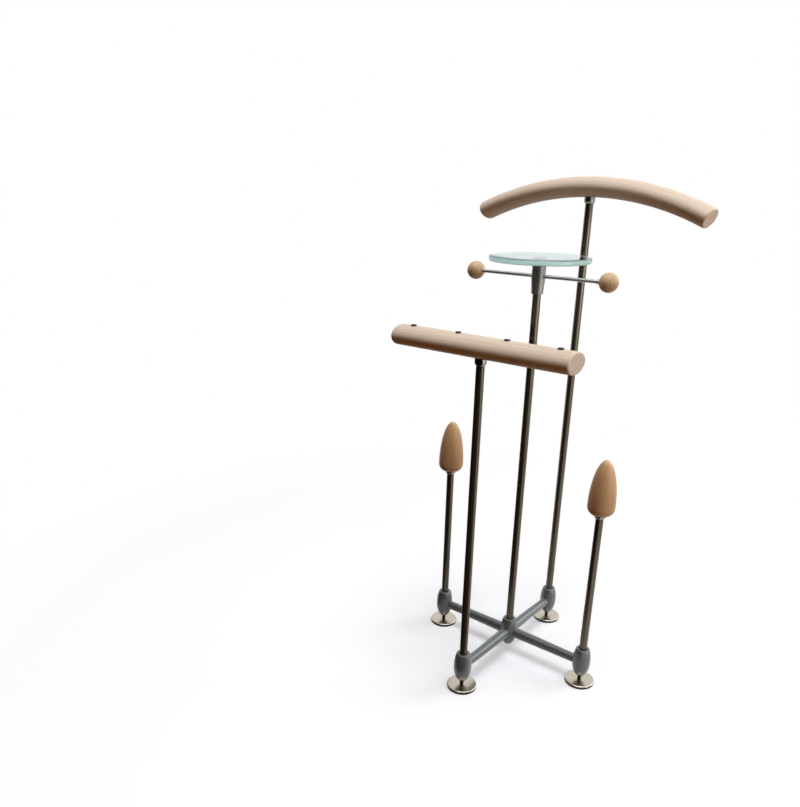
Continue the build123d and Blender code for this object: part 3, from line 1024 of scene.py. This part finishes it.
@dataclass(frozen=True)
class MirrorCard:
    """A curved card round the stand that only mirrors see, and so a painted reflection.

    A black one gives metal its dark side, and a pale grey one greys what the glass mirrors.
    """

    name: str
    colour: str
    sector_deg: Pair
    radius: Pair
    height: Pair
    steps: int = 40

    def add(self) -> None:
        """Stands the card up: (R cos v, R sin v, z), v over its sector, R and z from foot to top."""
        angles = np.radians(np.linspace(*self.sector_deg, self.steps + 1))
        arc = np.stack([np.cos(angles), np.sin(angles), np.zeros_like(angles)], -1)
        edges = [reach * arc + (0, 0, level) for reach, level in zip(self.radius, self.height)]
        step = np.arange(self.steps)
        above = step + self.steps + 1
        faces = np.stack([step, step + 1, above + 1, above], -1)
        mesh = bpy.data.meshes.new(self.name)
        mesh.from_pydata(np.concatenate(edges).tolist(), [], faces.tolist())
        material, tree = blank_material(self.name)
        # The card glows with its colour and is seen only in mirrors: a painted reflection.
        glow = add_node(tree, "ShaderNodeEmission", {"Color": linear(self.colour)})
        close_material(tree, glow.outputs[0])
        mesh.materials.append(material)
        card = add_object(self.name, mesh)
        card.visible_camera = False
        card.visible_diffuse = False
        card.visible_transmission = False
        card.visible_shadow = False


@dataclass(frozen=True)
class SoftBox:
    """A square lamp that faces the middle of the stand, out of the camera's sight."""

    name: str
    place: Point
    size: float
    watts: float
    tint: str = "#ffffff"
    aim: Point = (0.0, 0.0, 0.5)

    def add(self) -> None:
        """Hangs the lamp and turns its front to the stand."""
        lamp = bpy.data.lights.new(self.name, "AREA")
        lamp.shape = "SQUARE"
        lamp.size = self.size
        lamp.energy = self.watts
        lamp.color = linear(self.tint)[:3]
        light = add_object(self.name, lamp)
        light.location = self.place
        sight = Vector(self.aim) - Vector(self.place)
        light.rotation_euler = sight.to_track_quat("-Z", "Y").to_euler()
        light.visible_camera = False


@dataclass
class Studio:
    """A white floor that fades into a white ground, with soft boxes and mirror cards round the stand."""

    floor_half: float = 6.0
    fade_start: float = 0.55
    fade_end: float = 1.5
    floor_colour: str = "#fbfbfb"
    glow_colour: str = "#eff6ff"
    glow_strength: float = 0.34
    bounce_colour: str = "#6a431d"
    fill_colour: str = "#ffbf85"
    fill_strength: float = 0.1
    # Painted reflections: a black card round the front and left, a pale grey one far off at the back
    # left.
    cards: tuple[MirrorCard, ...] = (
        MirrorCard("black_flag", "#0c0b0a", (186.0, 325.0), (0.25, 0.76), (0.0, 1.25)),
        MirrorCard("grey_flag", "#e0e8ea", (90.0, 168.0), (1.5, 1.5), (0.87, 1.15)),
    )
    boxes: tuple[SoftBox, ...] = (
        SoftBox("overhead_softbox", (0.3, -0.35, 4.2), 2.2, 117.0, "#f6f9ff"),
        SoftBox("side_softbox", (3.9, 0.0, 0.6), 1.6, 42.0),
        SoftBox("back_softbox", (1.75, 2.5, 1.9), 2.0, 37.0),
    )

    def shown(self, tree: bpy.types.NodeTree) -> bpy.types.NodeSocket:
        """Tells what is seen from the light that goes between surfaces.

        Args:
            tree: the node tree that asks.

        Returns:
            One for rays from the eye, from mirrors and through glass, and zero for other rays.
        """
        path = add_node(tree, "ShaderNodeLightPath")
        seen = path.outputs["Is Camera Ray"]
        for kind in ("Is Glossy Ray", "Is Transmission Ray"):
            either = {0: seen, 1: path.outputs[kind]}
            seen = add_node(tree, "ShaderNodeMath", either, operation="MAXIMUM").outputs[0]
        return seen

    def floor_material(self) -> bpy.types.Material:
        """Makes a floor that is white to the eye and in mirrors, and warm and dim as a bounce.

        Returns:
            The floor's paint, which fades to pure white away from the stand.
        """
        material, tree = blank_material("studio_floor")
        place = add_node(tree, "ShaderNodeTexCoord").outputs["Object"]
        reach = add_node(tree, "ShaderNodeVectorMath", {0: place}, operation="LENGTH")
        fade = add_node(
            tree,
            "ShaderNodeMapRange",
            {"Value": reach.outputs["Value"], "From Min": self.fade_start, "From Max": self.fade_end},
            interpolation_type="SMOOTHSTEP",
        )
        matt = add_node(tree, "ShaderNodeBsdfDiffuse", {"Color": linear(self.floor_colour)})
        gleam = {"Color": linear(self.glow_colour), "Strength": self.glow_strength}
        glow = add_node(tree, "ShaderNodeEmission", gleam)
        white = add_node(tree, "ShaderNodeAddShader", {0: matt.outputs[0], 1: glow.outputs[0]})
        ground = add_node(tree, "ShaderNodeEmission", {"Color": WHITE, "Strength": 1.0})
        faded = add_node(
            tree, "ShaderNodeMixShader", {0: fade.outputs[0], 1: white.outputs[0], 2: ground.outputs[0]}
        )
        bounce = add_node(tree, "ShaderNodeBsdfDiffuse", {"Color": linear(self.bounce_colour)})
        looks = {0: self.shown(tree), 1: bounce.outputs[0], 2: faded.outputs[0]}
        split = add_node(tree, "ShaderNodeMixShader", looks)
        close_material(tree, split.outputs[0])
        return material

    def add_floor(self) -> None:
        """Lays one square face at the level of the pads."""
        half = self.floor_half
        corners = [(-half, -half, 0), (half, -half, 0), (half, half, 0), (-half, half, 0)]
        mesh = bpy.data.meshes.new("floor")
        mesh.from_pydata(corners, [], [(0, 1, 2, 3)])
        mesh.materials.append(self.floor_material())
        floor = add_object("floor", mesh)

    def add_world(self) -> None:
        """Sets a ground that is white where it is seen, and a dim warm fill elsewhere."""
        world = bpy.data.worlds.new("white_ground")
        world.use_nodes = True
        tree = world.node_tree
        tree.nodes.clear()
        dim = {"Color": linear(self.fill_colour), "Strength": self.fill_strength}
        fill = add_node(tree, "ShaderNodeBackground", dim)
        ground = add_node(tree, "ShaderNodeBackground", {"Color": WHITE, "Strength": 1.0})
        looks = {0: self.shown(tree), 1: fill.outputs[0], 2: ground.outputs[0]}
        split = add_node(tree, "ShaderNodeMixShader", looks)
        add_node(tree, "ShaderNodeOutputWorld", {"Surface": split.outputs[0]})
        bpy.context.scene.world = world

    def add(self) -> None:
        """Sets up the floor, the cards, the lamps and the ground."""
        self.add_floor()
        for equipment in (*self.cards, *self.boxes):
            equipment.add()
        self.add_world()


@dataclass
class PhotoCamera:
    """The camera that the photograph was taken with, as worked out from the stand's own sizes."""

    place: Point = (0.7064, -1.2627, 0.9747)
    turn_deg: float = 39.28
    pitch_deg: float = 21.27
    roll_deg: float = 1.16
    focal_px: float = 735.0
    axis_row_px: float = 475.0
    frame_width_px: int = 800
    frame_height_px: int = 807
    clip_start: float = 0.05

    def add(self) -> None:
        """Aims the camera along its heading, tilted down, with right and up rolled about that line."""
        turn, pitch, roll = radians(self.turn_deg), radians(self.pitch_deg), radians(self.roll_deg)
        heading = Vector((-sin(turn), cos(turn), 0))
        level = Vector((cos(turn), sin(turn), 0))
        upward = Vector((0, 0, 1))
        forward = cos(pitch) * heading - sin(pitch) * upward
        tilted = sin(pitch) * heading + cos(pitch) * upward
        right = cos(roll) * level + sin(roll) * tilted
        top = cos(roll) * tilted - sin(roll) * level
        lens = bpy.data.cameras.new("photo_camera")
        long_side = max(self.frame_width_px, self.frame_height_px)
        lens.lens = self.focal_px * lens.sensor_width / long_side
        lens.shift_y = (self.axis_row_px - self.frame_height_px / 2) / long_side
        lens.clip_start = self.clip_start
        camera = add_object("photo_camera", lens)
        axes = Matrix((right, top, -forward)).transposed().to_4x4()
        camera.matrix_world = Matrix.Translation(self.place) @ axes
        bpy.context.scene.camera = camera


def hanger_bar() -> WoodenBar:
    """Describes the jacket hanger: an arc, by its half span, its rise and the depth of its section.

    Returns:
        The bent bar, whose axis is 482 mm wide and drops by 51 mm towards its ends.
    """
    low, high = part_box("jacket_hanger")
    half_span, rise, depth = 241 * MM, 51 * MM, 38.5 * MM
    bend = (half_span**2 + rise**2) / (2 * rise)
    return WoodenBar(
        name="bent_hanger",
        node="jacket_hanger",
        body=Body.HANGER,
        length=2 * bend * asin(half_span / bend),
        width=high.y - low.y,
        depth=depth,
        height=high.z - depth / 2,
        bend_radius=bend,
        plank=(0.2, 0.004, 0.009),
    )


def straight_bar() -> WoodenBar:
    """Describes the trouser bar, as long, wide and deep as its node.

    Returns:
        The straight bar.
    """
    low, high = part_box("trouser_bar")
    return WoodenBar(
        name="planed_trouser_bar",
        node="trouser_bar",
        body=Body.TROUSER_BAR,
        length=high.x - low.x,
        width=high.y - low.y,
        depth=high.z - low.z,
        height=(low.z + high.z) / 2,
        bend_radius=None,
        plank=(0.9, -0.006, 0.012),
    )


def main() -> None:
    """Builds the finishes, the pieces, the studio and the camera, in that order."""
    logging.basicConfig(level=logging.INFO, format="%(name)s: %(message)s")
    bpy.context.scene.view_settings.view_transform = "Standard"
    finishes = {slot: finish.build() for slot, finish in FINISHES.items()}
    assemblies = [
        CarriedNodes(),
        hanger_bar(),
        straight_bar(),
        GripButtons(),
        TieBall(Side.LEFT, "left_tie_ball"),
        TieBall(Side.RIGHT, "right_tie_ball"),
        ShoeForm("left_shoe_form"),
        ShoeForm("right_shoe_form"),
        GlassDish(),
        *(LevellingFoot(name) for name in ("front", "rear", "left", "right")),
    ]
    for assembly in assemblies:
        assembly.add(finishes)
    Studio().add()
    PhotoCamera().add()


if __name__ == "__main__":
    main()
